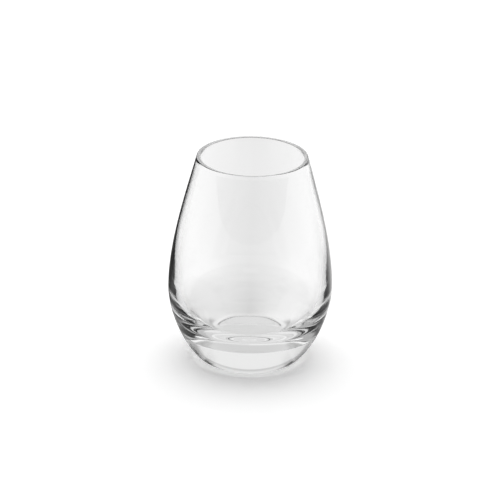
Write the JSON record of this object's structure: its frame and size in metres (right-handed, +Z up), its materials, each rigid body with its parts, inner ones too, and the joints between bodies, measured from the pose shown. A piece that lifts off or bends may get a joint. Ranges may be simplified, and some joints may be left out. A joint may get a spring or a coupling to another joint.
{
  "type": "stemless cognac glass",
  "caption": "Clear stemless cognac glass: an egg-shaped bowl that narrows to a rounded lip and thickens down into a heavy solid base with a flat resting ring.",
  "frame": {"origin": "middle of the resting ring's face, on the axis of the glass, at the level it stands on", "axes": "+Z up along the axis the glass is turned about, from the foot to the mouth; X and Y level"},
  "size_m": [0.072, 0.072, 0.0943],
  "materials": {
    "clear_glass": "clear, colourless and fire polished"
  },
  "bodies": {
    "root": {"bowl": "clear_glass", "base": "clear_glass"}
  },
  "joints": []
}
